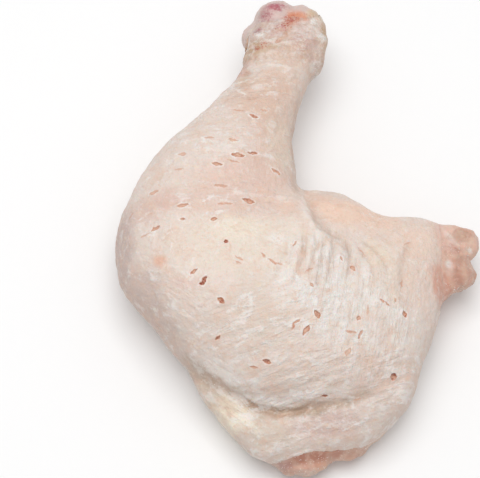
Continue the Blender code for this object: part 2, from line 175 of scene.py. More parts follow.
# Soft patches of colour: x, y, half length, half width, turn, colour, strength. Some of them are
# painted shade or painted light, as noted where they stand.
SKIN_TINTS = (
    (-20, -16, 34, 14, 0, "cream", 0.9), (-27, 2, 34, 6.5, 0, "pink", 0.6),
    (-56, 0, 13, 7, 20, "rose", 0.4), (-13, 46, 15, 16, 0, "shin", 0.8),
    (-20, 14, 24, 10, 0, "pink", 0.75), (-12, 30, 12, 8, 0, "pink", 0.4),
    (-6, 28, 6, 12, 0, "butter", 0.3), (-34, 22, 12, 8, 40, "pearl", 0.35),
    # The clay strip at x 0.5 is painted shadow down the drumstick's right edge.
    (0.5, 25, 3.2, 24, 0, "clay", 0.85), (1.5, 24, 2.2, 14, 0, "straw", 0.6),
    # The violet grey patches along the left outline are painted shade where the skin turns away
    # from the light.
    (-69, -10, 7, 18, 0, "violet grey", 0.95), (-61, -33, 11, 22, 40, "violet grey", 0.6),
    (-50, -52, 9, 20, 45, "violet grey", 0.35), (-38, -50, 14, 18, 30, "cool grey", 0.25),
    (-14, -42, 22, 14, 0, "sand", 0.5), (16, -38, 22, 18, 90, "pearl", 0.8),
    (-3, -35, 9, 9, 0, "white", 0.55), (42, -46, 10, 10, 0, "pearl", 0.5),
    (8, -20, 16, 9, 0, "pearl", 0.6), (34, -24, 12, 20, 0, "cream", 0.4),
    (30, -18, 5, 8, 40, "butter", 0.5), (20, 2, 24, 9, -8, "peach", 0.9),
    (8, 9, 8, 5, 0, "peach", 0.5), (45, -10, 14, 10, 0, "peach", 0.5),
    (46, -30, 10, 16, 0, "pink", 0.25), (-5, -63, 26, 8, 8, "cool grey", 0.2),
    (30, -66, 14, 12, 30, "pink", 0.25), (-28, -73, 16, 8, -35, "butter", 0.8),
    (-12, -82, 16, 6, -10, "sand", 0.9), (10, -80, 18, 6, 8, "rose", 0.5),
    (10, -79, 16, 6, 8, "violet grey", 0.6), (28, -75, 12, 6, 30, "cool grey", 0.45),
    # The tan strips along the long crease below the thigh are painted shade in the crease.
    (-2, -75.4, 15, 2.4, 6, "tan", 1), (-12.5, -74.2, 7, 2.2, -12, "tan", 0.8),
    (10, -73.2, 10, 1.8, 5, "tan", 0.6), (22, -70.6, 8, 1.8, 25, "tan", 0.5),
    (-20, -71, 9, 2, -30, "tan", 0.6), (-36, -61, 12, 2, -38, "tan", 0.6),
    # The pale butter patch at x -25 is painted light where the flap turns away from the lamp.
    (-25, -77, 10, 5, -20, "pale butter", 1), (-33, -67, 6, 3, -38, "sand", 0.6),
    (-22, -9.5, 10, 6, 0, "pale butter", 0.35), (-42.2, -31.7, 7, 2.6, -5, "rose", 0.3),
    (-8.6, -14.5, 4, 4, 0, "white", 0.6), (-52, -22, 3, 3.6, 60, "apricot", 0.55),
    (-5, 60, 16, 8, 60, "shin", 0.55), (-20.5, 59, 3, 7, 10, "straw", 0.4),
    # The clay strips near x 9 are painted shade down the shin's right side.
    (-22, 62, 3.4, 3.6, 30, "rose", 0.8), (8.6, 57, 2.2, 8, 20, "clay", 0.7),
    (0, 72, 13, 7, 0, "shin", 0.75), (9, 62, 3, 9, 20, "clay", 0.6),
    (8, 64.7, 2.6, 3, 0, "white", 0.7), (-14.9, 52.4, 3.4, 2.2, 0, "white", 0.6),
    (57.6, -14, 3.4, 22, 6, "salmon", 0.4), (54.8, -26, 4.6, 9, 8, "salmon", 0.8),
    (55, 0, 8, 4, 0, "pink", 0.5),
)
KNOB_TINTS = (
    # The violet grey strip at x -13.6 is painted shade at the knob's left edge.
    (-6.5, 81.5, 10, 8.5, 0, "mauve", 0.9), (-13.6, 84.4, 2.6, 6, -15, "violet grey", 0.9),
    (-7, 80.4, 5, 2.6, 0, "pearl", 0.55), (-8, 89.6, 5, 2.6, 10, "magenta", 0.85),
    (-11.5, 86, 2.6, 3, 0, "magenta", 0.3), (2.6, 85.8, 6, 2.8, -10, "orange", 0.85),
    (-1.6, 83.4, 3.4, 3.2, 0, "orange", 0.55), (7.6, 87.4, 4.4, 3.4, 0, "butter", 0.8),
    (7.6, 88.4, 3.6, 2, -10, "straw", 0.55), (6.6, 86.6, 2.6, 1.8, 0, "straw", 0.35),
    (-3.4, 80.4, 4.4, 2.2, 25, "orange", 0.4), (-1.7, 83.4, 1.7, 1.4, -20, "blood", 0.75),
    (11.8, 81.4, 2.2, 5.2, -10, "straw", 1), (12.8, 75, 1.8, 7, 0, "straw", 0.7),
    (7.6, 84.2, 2.4, 1.9, 40, "white", 0.95), (10.8, 77.2, 2.4, 2.2, 0, "white", 0.95),
    (4.5, 74, 5.4, 4.6, 0, "mauve", 0.7), (7, 69, 3.6, 3.6, 0, "violet grey", 0.45),
    (-15.8, 76.4, 3.4, 4, 0, "violet grey", 0.75), (-15, 79.1, 1.8, 1.2, 15, "plum", 0.75),
    (-14.4, 76.2, 2.2, 1.4, 0, "white", 0.9), (-17, 71, 3.6, 4.2, 0, "straw", 0.8),
    (-12.5, 71.4, 7, 2.8, 6, "straw", 0.6), (-21, 64.6, 3.2, 3, 20, "rose", 0.8),
    # The clay strip at x 11.6 is painted shade down the shin's right side.
    (11.6, 67.5, 2, 5, 10, "clay", 0.7),
)
LEAN_TINTS = (
    (58.4, -4, 3.6, 9, 0, "pink", 0.7), (58.6, -4.8, 1.1, 4.6, 35, "white", 0.6),
    (60.6, -6.4, 0.8, 3.6, 40, "white", 0.5), (55, -26, 4.5, 10, 0, "salmon", 0.7),
    (66, -6.5, 6.5, 7.5, 0, "lean pale", 0.6), (67, -9.4, 1.1, 1.1, 0, "white", 0.9),
    (66, -18, 5, 6, 0, "clay", 0.35), (64.5, -3.5, 5, 4, 0, "clay", 0.6),
    (64, -13, 2.6, 2.2, 0, "lean dark", 0.4), (62, -21, 2.4, 5, 20, "lean dark", 0.35),
    (58, -17.2, 2.8, 3.6, 0, "pink", 0.8), (58.2, -16.4, 1.6, 1.8, 0, "pearl", 0.7),
    (58.6, -1.8, 5, 3, 0, "lean pale", 0.6), (60.4, -10.5, 1.6, 3.2, 0, "rose", 0.7),
    # The lean dark and plum strips along the bottom lip are painted shadow under the skin's edge.
    (3, -90.2, 16, 2.6, 10, "lean dark", 0.95), (-6, -92.4, 7, 3, 10, "bruise and shade", 0.9),
    (0.6, -89.8, 6, 2.4, 25, "lean dark", 1), (23, -84, 7, 3, 30, "clay", 0.45),
    (20, -86.5, 14, 2.2, 10, "lean dark", 0.25), (29, -79, 7, 6, 40, "fat", 0.6),
    (4, -96, 18, 2.4, 4, "cool grey", 0.55), (10, -92.5, 5, 2.4, 4, "apricot", 0.25),
)
# Where blood of two colours lies in fine specks: x, y, half length, half width, turn, amount.
BLOOD_SPECKS = {
    "blood": (
        (-0.8, 84.2, 4.6, 2.8, -20, 1), (-1.4, 83.4, 2.2, 1.6, 0, 1), (-4.4, 80, 5.2, 2.6, 30, 1),
        (4, 86, 4, 2.2, 0, 0.5), (-12.8, 71.6, 3.8, 2.2, 10, 0.8),
    ),
    "magenta": (
        (-7.8, 89.4, 5.2, 3, 10, 1), (-11, 86, 3.4, 3.6, 0, 0.8), (-15, 79, 2.2, 1.7, 0, 1),
        (-6.4, 79.4, 3.4, 2.2, 20, 0.6), (3, 73, 5, 4, 0, 0.35),
    ),
}

# --- Sizes, in millimetres ---
KNOB_START = 64.0  # the y beyond which the skin is part of the joint
# The skin's longest edges where it is hidden, faces down, lies on its bed and round the bed,
# and at a slit. The bed is what lies lower than BED_TOP.
HIDDEN_EDGE, UNDER_EDGE, BED_EDGE, BED_RIM_EDGE, SLIT_EDGE = 5.0, 2.0, 3.0, 1.2, 0.34
BED_TOP = 2.0
# The longest edges of flesh and gristle where hidden, on the bed, and where they show.
LEAN_EDGES, CAP_EDGES = (5.0, 2.4, 0.75), (2.5, 0.7, 0.7)
COVERED = 0.75  # flesh that is nearer to the skin than this is hidden by it
# Skin and bare flesh run into each other on one eased surface: how far the skin's edge reaches
# out over the flesh high up and low down, how far the flesh lies below it there and on the
# underside, and where that surface starts and ends.
SEAM_REACH, LOW_REACH = 2.4, 3.4
SEAM_DROP, BED_HEIGHT = 0.05, 0.15
SEAM_NEAR, SEAM_FAR = 3.0, 8.0
STREAK_STRETCH = 5.0  # how much longer a streak is than the space between two
SHARP_ANGLE = 58.0  # degrees between faces that are shaded as an edge
NOISE_CELLS = 48


def linear(code):
    """A hexadecimal sRGB colour in linear light."""
    parts = [int(code[i : i + 2], 16) / 255 for i in (0, 2, 4)]
    return tuple(p / 12.92 if p <= 0.04045 else ((p + 0.055) / 1.055) ** 2.4 for p in parts)


def ease(start, end, value):
    """Goes smoothly from 0 at start to 1 at end."""
    share = np.clip((value - start) / (end - start), 0, 1)
    return share * share * (3 - 2 * share)


# --- Noise and plan shapes ---
def smooth_noise(points, length, seed):
    """Smooth random values of about -1 to 1 that change over the given length."""
    table = np.random.default_rng(seed).uniform(-1.3, 1.3, (NOISE_CELLS,) * 3)
    place = points / np.asarray(length, float)
    cell = np.floor(place).astype(int)
    share = place - cell
    share = share**3 * (share * (share * 6 - 15) + 10)
    total = np.zeros(len(points))
    for corner in itertools.product((0, 1), repeat=3):
        at = (cell + corner) % NOISE_CELLS
        weight = np.prod(np.where(corner, share, 1 - share), axis=1)
        total += weight * table[at[:, 0], at[:, 1], at[:, 2]]
    return total


def rough_noise(points, length, seed, layers=3):
    """Noise with finer and finer layers."""
    total = np.zeros(len(points))
    for layer in range(layers):
        size = np.asarray(length) / 2**layer
        total += smooth_noise(points + 7.3 * layer, size, seed + layer) / 2**layer
    return total / 1.5


def turned(points, x, y, turn):
    """Places along and across a direction in plan, from the point x, y."""
    angle = math.radians(turn)
    across, up = points[:, 0] - x, points[:, 1] - y
    along = across * math.cos(angle) + up * math.sin(angle)
    return along, up * math.cos(angle) - across * math.sin(angle)


def gap_to_run(points, run):
    """How far each point is from a run in plan, and how far along it, from 0 to 1."""
    run = np.array(run)
    steps = np.diff(run, axis=0)
    lengths = np.linalg.norm(steps, axis=1)
    nearest = np.full(len(points), np.inf)
    along = np.zeros(len(points))
    for i, (start, step, length) in enumerate(zip(run[:-1], steps, lengths)):
        offset = points[:, :2] - start
        share = np.clip((offset @ step) / length**2, 0, 1)
        gap = np.linalg.norm(offset - share[:, None] * step, axis=1)
        closer = gap < nearest
        nearest[closer] = gap[closer]
        along[closer] = ((lengths[:i].sum() + share * length) / lengths.sum())[closer]
    return nearest, along


# --- Meshes as arrays, in millimetres ---
def new_object(name, data):
    made = bpy.data.objects.new(name, data)
    bpy.context.scene.collection.objects.link(made)
    return made


def solid_form(*nodes):
    """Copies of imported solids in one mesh, with their loose triangles joined."""
    mesh = bmesh.new()
    for node in nodes:
        mesh.from_mesh(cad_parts[node].data)
    bmesh.ops.remove_doubles(mesh, verts=mesh.verts, dist=0.02 * MM)
    data = bpy.data.meshes.new("form")
    mesh.to_mesh(data)
    mesh.free()
    return new_object("form", data)


def bake_modifiers(body):
    graph = bpy.context.evaluated_depsgraph_get()
    graph.update()
    data = bpy.data.meshes.new_from_object(body.evaluated_get(graph))
    body.modifiers.clear()
    body.data = data


def read_surface(body):
    """The object's points and triangles."""
    data = body.data
    data.calc_loop_triangles()
    points = np.empty(len(data.vertices) * 3, np.float32)
    faces = np.empty(len(data.loop_triangles) * 3, np.int32)
    data.vertices.foreach_get("co", points)
    data.loop_triangles.foreach_get("vertices", faces)
    return points.reshape(-1, 3).astype(float) / MM, faces.reshape(-1, 3)


def softened_form(*nodes, rounds, voxel=1.0, triangles=math.inf):
    """Solids joined, with their facets smoothed away: a fine surface to settle on, as points
    and triangles, and a thinned one to start from."""
    body = solid_form(*nodes)
    remesh = body.modifiers.new("Even out", "REMESH")
    remesh.mode = "VOXEL"
    remesh.voxel_size = voxel * MM
    soften = body.modifiers.new("Soften", "SMOOTH")
    soften.factor = 0.5
    soften.iterations = rounds
    bake_modifiers(body)
    fine = read_surface(body)
    thin = body.modifiers.new("Thin", "DECIMATE")
    thin.ratio = min(1.0, triangles / len(fine[1]))
    bake_modifiers(body)
    start = read_surface(body)
    bpy.data.objects.remove(body)
    return fine, start


def search_tree(points, faces):
    return BVHTree.FromPolygons(points.tolist(), faces.tolist())


def nearest(points, tree, item):
    """What is nearest to each point on a surface: its place (0), normal (1) or distance (3)."""
    return np.array([tree.find_nearest(point)[item] for point in points])


def distance_to(points, tree):
    return nearest(points, tree, 3)


def joined(surfaces):
    """Surfaces, each of points and triangles, as one."""
    points, faces = zip(*surfaces)
    starts = np.cumsum([0, *map(len, points[:-1])])
    return np.vstack(points), np.vstack([own + start for own, start in zip(faces, starts)])


@functools.cache
def solid_tree(*nodes):
    """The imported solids' surface as a search tree."""
    return search_tree(*joined(read_surface(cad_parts[node]) for node in nodes))


def bare_surface(points, faces, least):
    """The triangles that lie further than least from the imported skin, as a search tree."""
    middle = points[faces].mean(axis=1)
    return search_tree(points, faces[distance_to(middle, solid_tree("skin")) > least])


@functools.cache
def bare_flesh():
    """The flesh that the skin leaves bare, as a search tree of fine triangles."""
    return bare_surface(*softened_form("meat", "hock_joint", rounds=3)[0], least=1.1)


@functools.cache
def whole_form():
    """The outside of the whole leg, with the steps at the skin's edges eased away."""
    return search_tree(*softened_form("skin", "meat", "hock_joint", rounds=60)[0])


def eased(points, share, drop=0.0):
    """Points moved towards the eased outside of the leg, or to a little below it."""
    moved = points.copy()
    tree = whole_form()
    at = np.where(share > 0.01)[0]
    found = (tree.find_nearest(point) for point in points[at])
    target = np.array([place - normal * drop for place, normal, _, _ in found])
    moved[at] += share[at, None] * (target - points[at])
    return moved


def drawn_out(points, normals, reach, tree):
    """Points drawn along the surface towards a tree's nearest place, to close the seam."""
    moved = points.copy()
    for i in np.where(reach > 0.02)[0]:
        way = np.array(tree.find_nearest(points[i])[0]) - points[i]
        way -= normals[i] * (way @ normals[i])
        length = np.linalg.norm(way)
        moved[i] += way * min(1.0, reach[i] / max(length, 1e-6))
    return moved


def point_normals(points, faces):
    corners = points[faces]
    facing = np.cross(corners[:, 1] - corners[:, 0], corners[:, 2] - corners[:, 0])
    total = np.empty_like(points)
    for axis in range(3):
        total[:, axis] = np.bincount(
            faces.ravel(), np.repeat(facing[:, axis], 3), minlength=len(points)
        )
    return total / np.maximum(np.linalg.norm(total, axis=1), 1e-9)[:, None]


def split_long_edges(points, faces, values, wanted, rounds=7):
    """Halves each edge that is longer than wanted says at its middle, over and over. Each
    point carries a value, which wanted reads too."""
    for _ in range(rounds):
        ends = np.sort(faces[:, [0, 1, 1, 2, 2, 0]].reshape(-1, 2), axis=1).astype(np.int64)
        keys, index = np.unique(ends[:, 0] * len(points) + ends[:, 1], return_inverse=True)
        first, second = keys // len(points), keys % len(points)
        middle = (points[first] + points[second]) / 2
        between = (values[first] + values[second]) / 2
        gap = np.linalg.norm(points[first] - points[second], axis=1)
        long = gap > wanted(middle, between)
        if not long.any():
            break
        made = np.where(long, len(points) + np.cumsum(long) - 1, -1)
        faces = split_faces(faces, made[index].reshape(-1, 3))
        points = np.vstack([points, middle[long]])
        values = np.concatenate([values, between[long]])
    return points, faces


def split_faces(faces, halves):
    """Triangles rebuilt round the new middles of their sides, -1 where a side has none."""
    count = (halves >= 0).sum(axis=1)
    made = [faces[count == 0]]
    for turn in range(3):
        a, b, c = (faces[:, (turn + k) % 3] for k in range(3))
        ab, bc, ca = (halves[:, (turn + k) % 3] for k in range(3))
        one, two = (count == 1) & (ab >= 0), (count == 2) & (ca < 0)
        for where, *corners in (
            (one, a, ab, c), (one, ab, b, c), (two, ab, b, bc), (two, a, ab, bc), (two, a, bc, c),
        ):
            made.append(np.stack(corners, 1)[where])
        if turn == 0:
            for corners in ((a, ab, ca), (ab, b, bc), (ca, bc, c), (ab, bc, ca)):
                made.append(np.stack(corners, 1)[count == 3])
    return np.vstack(made)


def flesh_mesh(fine, start, edges):
    """A softened form of flesh as a mesh that is coarse under the skin and on the bed: its
    points, triangles and normals, and how far each point lies from the skin."""
    skin_tree = solid_tree("skin")
    hidden, bed, shown = edges

    def wanted(middle, gap):
        return np.where(gap < COVERED, hidden, np.where(middle[:, 2] < 1.5, bed, shown))

    points, faces = split_long_edges(*start, distance_to(start[0], skin_tree), wanted)
    points = nearest(points, search_tree(*fine), 0)
    return points, faces, point_normals(points, faces), distance_to(points, skin_tree)


def make_piece(name, points, faces, colours, masks, material=None):
    """A smooth mesh object with a tint and named masks at its points."""
    data = bpy.data.meshes.new(name)
    data.from_pydata((points * MM).tolist(), [], faces.tolist())
    tint = data.color_attributes.new("tint", "FLOAT_COLOR", "POINT")
    rgba = np.ones((len(points), 4), np.float32)
    rgba[:, :3] = colours
    tint.data.foreach_set("color", rgba.ravel())
    for mask, values in masks.items():
        layer = data.attributes.new(mask, "FLOAT", "POINT")
        layer.data.foreach_set("value", np.asarray(values, np.float32))
    data.shade_smooth()
    data.set_sharp_from_angle(angle=math.radians(SHARP_ANGLE))
    if material:
        data.materials.append(material)
    return new_object(name, data)


def blended(colours, *layers):
    """The colours with palette colours laid over them in turn, each by its points' shares."""
    for name, share in layers:
        share = np.asarray(share)[:, None]
        colours = colours * (1 - share) + np.array(linear(COLOURS[name])) * share
    return colours


def patch_share(points, patch, waver=0.0):
    """1 inside an uneven oval patch and 0 outside it, with a soft edge."""
    x, y, half_length, half_width, turn = patch
    along, across = turned(points, x, y, turn)
    return ease(1.25, 0.35, np.hypot(along / half_length, across / half_width) * (1 + waver))


def painted(points, colours, tints, seed):
    """The points' colours, or one palette colour, with soft uneven patches laid over them."""
    if isinstance(colours, str):
        colours = np.tile(linear(COLOURS[colours]), (len(points), 1))
    waver = 0.28 * rough_noise(points, 7.0, seed) + 0.12 * rough_noise(points, 2.2, seed + 5)
    for *patch, tint, strength in tints:
        colours = blended(colours, (tint, strength * patch_share(points, patch, waver)))
    return colours


def strongest(points, waver, patches):
    """The share of the strongest of several patches at each point."""
    total = np.zeros(len(points))
    for *patch, amount in patches:
        total = np.maximum(total, amount * patch_share(points, patch, waver))
    return total


def blood_masks(points):
    """How much blood of each colour lies in specks at each point."""
    waver, knob = 0.35 * rough_noise(points, 2.2, 23), points[:, 1] > KNOB_START
    return {
        tint: knob * strongest(points, waver, patches) for tint, patches in BLOOD_SPECKS.items()
    }


def frost_places(points):
    return strongest(points, 0.4 * rough_noise(points, 2.5, 19), FROST_PLACES)


# --- Relief ---
def place_pricks(tree):
    """Where each slit lies on the skin, its directions along and across, and its sizes."""
    placed = []
    for x, y, half_length, half_width, turn, deep, dark in PRICKS:
        centre, normal, _, _ = tree.ray_cast(Vector((x, y, 90.0)), Vector((0, 0, -1)))
        angle = math.radians(turn)
        along = Vector((math.cos(angle), math.sin(angle), 0))
        along = (along - normal * along.dot(normal)).normalized()
        places = map(np.array, (centre, along, normal.cross(along)))
        placed.append((*places, half_length, half_width, deep, dark))
    return placed


def prick_fields(points, placed):
    """For each point: its distance from the edge of the nearest slit, below 0 inside, and
    that slit's half width, depth and darkness."""
    edge = np.full(len(points), 99.0)
    width, deep_at, dark_at = np.ones(len(points)), np.zeros(len(points)), np.zeros(len(points))
    for centre, along, across, half_length, half_width, deep, dark in placed:
        offset = points - centre
        near = np.where((offset**2).sum(axis=1) < (half_length + 3) ** 2)[0]
        u, v = offset[near] @ along, offset[near] @ across
        v = v + 0.3 * smooth_noise(points[near], 1.0, 5) * min(1.0, half_width / 0.5)
        share = np.clip(np.abs(u) / half_length, 0, 1)
        opening = half_width * (1 - share**2.2)
        beyond = np.maximum(np.abs(u) - half_length, 0)
        gap = np.hypot(np.maximum(np.abs(v) - opening, 0), beyond)
        gap = np.where(gap > 0, gap, np.abs(v) - opening)
        closer = gap < edge[near]
        at = near[closer]
        edge[at] = gap[closer]
        width[at], deep_at[at], dark_at[at] = half_width, deep, dark
    return edge, width, deep_at, dark_at


def wrinkle_heights(points):
    total = np.zeros(len(points))
    bent = points + 0.7 * rough_noise(points, 6.0, 17)[:, None]
    for run, half_width, height in WRINKLES:
        gap, along = gap_to_run(bent, run)
        fade = ease(0.0, 0.2, along) * ease(1.0, 0.7, along)
        total += height * fade * np.exp(-((gap / half_width) ** 2))
    return total


def bulge_heights(points):
    total = np.zeros(len(points))
    for *place, reach, height in BULGES:
        total += height * np.exp(-(np.linalg.norm(points - place, axis=1) / reach) ** 2)
    return total


def streak_fields(points):
    """The height of the streaks, and how strongly they run each way."""
    bend = [3.0 * smooth_noise(points, 15.0, seed) for seed in (31, 32, 33)]
    bent = points + np.stack(bend, axis=1)
    height, shares = np.zeros(len(points)), {way: np.zeros(len(points)) for way in STREAK_WAYS}
    for i, (way, x, y, half_length, half_width, spacing, rise) in enumerate(STREAKS):
        turn = STREAK_WAYS[way]
        along, across = turned(points, x, y, turn)
        patch = ease(1.25, 0.4, np.hypot(along / half_length, across / half_width))
        along, across = turned(bent, x, y, turn)
        lines = np.stack([along, across, bent[:, 2]], axis=1)
        size = (STREAK_STRETCH * spacing, spacing, STREAK_STRETCH * spacing)
        height += rise * patch * rough_noise(lines, size, 40 + i, 2)
        shares[way] = np.maximum(shares[way], patch * min(1.0, rise / 0.3))
    return height, shares


# --- Shader parts ---
def put(tree, kind, inputs=(), **settings):
    """A node with its settings, and its inputs as values or as links from other sockets."""
    made = tree.nodes.new(kind)
    for name, value in settings.items():
        setattr(made, name, value)
    for name, value in dict(inputs).items():
        if isinstance(value, bpy.types.NodeSocket):
            tree.links.new(value, made.inputs[name])
        else:
            made.inputs[name].default_value = value
    return made


def calculate(tree, operation, *values):
    return put(tree, "ShaderNodeMath", dict(enumerate(values)), operation=operation).outputs[0]


def times(tree, first, second, rest=None):
    """The product of two values, plus the rest."""
    if rest is None:
        return calculate(tree, "MULTIPLY", first, second)
    return calculate(tree, "MULTIPLY_ADD", first, second, rest)


def per_size(tree, size):
    """A texture's scale for a size that a group is given in millimetres."""
    return calculate(tree, "DIVIDE", PER_MM, size)


def ramp(tree, value, low, high):
    """0 below low, 1 above high and smooth between them."""
    inputs = {"Value": value, "From Min": low, "From Max": high}
    return put(tree, "ShaderNodeMapRange", inputs, interpolation_type="SMOOTHSTEP").outputs[0]


def vector_math(tree, operation, inputs):
    return put(tree, "ShaderNodeVectorMath", inputs, operation=operation).outputs[0]


def object_place(tree):
    return put(tree, "ShaderNodeTexCoord").outputs["Object"]


def noise(tree, scale, detail=3.0, roughness=0.5, distortion=0.0, place=None, output=0):
    """Noise as a value round 0.5, or as a vector of values from 0 to 1 for output 1."""
    inputs = {
        "Vector": place or object_place(tree), "Scale": scale, "Detail": detail,
        "Roughness": roughness, "Distortion": distortion,
    }
    return put(tree, "ShaderNodeTexNoise", inputs).outputs[output]


def group_of(name, inputs):
    """A new group of one result: its tree, the values it is given, and the result's socket."""
    tree = bpy.data.node_groups.new(name, "ShaderNodeTree")
    for socket, value in inputs.items():
        made = tree.interface.new_socket(socket, in_out="INPUT", socket_type="NodeSocketFloat")
        made.default_value = value
    tree.interface.new_socket("Value", in_out="OUTPUT", socket_type="NodeSocketFloat")
    given, out = tree.nodes.new("NodeGroupInput"), tree.nodes.new("NodeGroupOutput")
    return tree, given.outputs, out.inputs[0]


def frost_group(name):
    """Cloudy frost: soft blotches broken up by finer grains, more of it where Lift is high."""
    tree, given, result = group_of(name, {"Blotch size": 3.0, "Cover": 0.5, "Lift": 0.0})
    place, scale = object_place(tree), per_size(tree, given["Blotch size"])
    blotches = noise(tree, scale, 4.0, 0.52, 0.6, place)
    grains = noise(tree, times(tree, scale, 3.6), place=place)
    both = calculate(tree, "ADD", times(tree, grains, 0.5, blotches), given["Lift"])
    edge = calculate(tree, "SUBTRACT", 1.02, times(tree, given["Cover"], 0.55))
    tree.links.new(ramp(tree, both, edge, calculate(tree, "ADD", edge, 0.36)), result)
    return tree


def grain_group(name):
    """The height of moist flesh's fine unevenness and small raised pores."""
    tree, given, result = group_of(name, {"Grain size": 0.8, "Pore size": 2.6})
    place = object_place(tree)
    fine = noise(tree, per_size(tree, given["Grain size"]), 4.0, 0.6, place=place)
    inputs = {"Vector": place, "Scale": per_size(tree, given["Pore size"]), "Randomness": 0.9}
    pores = put(tree, "ShaderNodeTexVoronoi", inputs, feature="SMOOTH_F1").outputs["Distance"]
    tree.links.new(times(tree, ramp(tree, pores, 0.55, 0.05), 0.5, fine), result)
    return tree


def streak_group(name):
    """Fine streaks that run one way, as a height round 0."""
    tree, given, result = group_of(name, {"Turn": 0.0, "Spacing": 1.2, "Stretch": 6.0})
    inputs = {"Vector": object_place(tree), "Angle": times(tree, given["Turn"], -1.0)}
    place = put(tree, "ShaderNodeVectorRotate", inputs, rotation_type="Z_AXIS").outputs[0]
    across = per_size(tree, given["Spacing"])
    along = calculate(tree, "DIVIDE", across, given["Stretch"])
    scale = put(tree, "ShaderNodeCombineXYZ", {0: along, 1: across, 2: along}).outputs[0]
    lines = noise(
        tree, 1.0, 3.0, 0.55, 0.5, place=vector_math(tree, "MULTIPLY", {0: place, 1: scale})
    )
    tree.links.new(calculate(tree, "SUBTRACT", lines, 0.5), result)
    return tree


GROUPS = {"frost_clouds": frost_group, "flesh_grain": grain_group, "fine_streaks": streak_group}


def shared(tree, name, **inputs):
    """The result of a group that several materials share, made where it is first used."""
    group = bpy.data.node_groups.get(name) or GROUPS[name](name)
    inputs = {key.replace("_", " "): value for key, value in inputs.items()}
    return put(tree, "ShaderNodeGroup", inputs, node_tree=group).outputs[0]


def attribute(tree, name, output="Fac"):
    return put(tree, "ShaderNodeAttribute", attribute_name=name).outputs[output]


def overlaid(tree, share, colour, other):
    """A colour with a palette colour, or a linear one, laid over it by a share."""
    if isinstance(other, str):
        other = linear(COLOURS[other])
    inputs = {0: share, 6: colour, 7: (*other, 1)}
    return put(tree, "ShaderNodeMix", inputs, data_type="RGBA").outputs[2]


def mottled(tree, colour, *kinds):
    """The colour with blotches: size, where they start, where they are full, strength, colour."""
    for size, low, high, strength, other in kinds:
        share = ramp(tree, noise(tree, PER_MM / size, 4.0, 0.6, 0.7), low, high)
        colour = overlaid(tree, times(tree, share, strength), colour, other)
    return colour


def bloodied(tree, colour):
    """The colour with fine specks and threads of blood where the masks say."""
    for name, size in (("blood", 0.9), ("magenta", 1.1)):
        specks = ramp(tree, noise(tree, PER_MM / size, 4.0, 0.65, 0.8), 0.46, 0.64)
        colour = overlaid(tree, times(tree, specks, attribute(tree, name)), colour, name)
    return colour


def frosted(tree, settings, colour, size, cover, lift=0.0):
    """The colour under a cloudy coat of frost, and how much frost there is."""
    clouds = shared(tree, "frost_clouds", Blotch_size=size, Cover=cover, Lift=lift)
    coat = times(tree, clouds, attribute(tree, "frost"))
    share = times(tree, coat, settings.frost_amount)
    return overlaid(tree, share, colour, settings.frost_colour), coat


def new_material(name, inputs):
    """A Principled material with some inputs set, its node tree and its shader."""
    material = bpy.data.materials.new(name)
    material.use_nodes = True
    shader = material.node_tree.nodes["Principled BSDF"]
    for socket, value in inputs.items():
        shader.inputs[socket].default_value = value
    return material, material.node_tree, shader


def flesh_material(name, roughness, subsurface, radius, scale):
    """A material for moist flesh, ready for its colour and bumps."""
    return new_material(
        name,
        {
            "Roughness": roughness, "Subsurface Weight": subsurface, "Subsurface Radius": radius,
            "Subsurface Scale": scale * MM,
        },
    )


def set_surface(tree, shader, colour, height, distance, strength):
    inputs = {"Height": height, "Distance": distance * MM, "Strength": strength}
    tree.links.new(colour, shader.inputs["Base Color"])
    tree.links.new(put(tree, "ShaderNodeBump", inputs).outputs[0], shader.inputs["Normal"])


def skin_material(settings):
    material, tree, shader = flesh_material("raw_skin", 0.5, 0.2, (1.0, 0.45, 0.3), 1.3)
    colour = mottled(
        tree, attribute(tree, "tint", "Color"), (5.5, 0.5, 0.72, 0.5, settings.blush_colour),
        (3.1, 0.54, 0.7, 0.35, "butter"), (1.7, 0.52, 0.7, 0.4, "biscuit"),
    )
    streaks, smears = 0.0, 0.0
    for way, degrees in STREAK_WAYS.items():
        share, turn = attribute(tree, "streaks_" + way), math.radians(degrees)
        lines = shared(tree, "fine_streaks", Turn=turn, Spacing=1.3, Stretch=4.5)
        streaks = times(tree, lines, share, streaks)
        broad = shared(tree, "fine_streaks", Turn=turn, Spacing=3.4, Stretch=3.0)
        smears = times(tree, broad, share, smears)
    pinker = ramp(tree, smears, 0.02, -0.16)
    colour = overlaid(tree, times(tree, pinker, 0.3), colour, settings.blush_colour)
    worn = attribute(tree, "worn")
    for size, name, strength in ((2.4, "bruise and shade", 0.3), (1.3, "straw", 0.35), (1.8, "pearl", 0.2)):
        colour = mottled(tree, colour, (size, 0.46, 0.62, times(tree, worn, strength), name))
    lift = times(tree, streaks, 0.8, times(tree, smears, 1.9))
    colour, coat = frosted(tree, settings, colour, 3.0, 0.52, lift)
    tree.links.new(times(tree, coat, 0.2, 0.42), shader.inputs["Roughness"])
    grain = shared(tree, "flesh_grain", Grain_size=0.9, Pore_size=2.4)
    height = times(tree, coat, 0.35, times(tree, streaks, 2.0, grain))
    set_surface(tree, shader, bloodied(tree, colour), height, 0.45, 0.75)
    return material


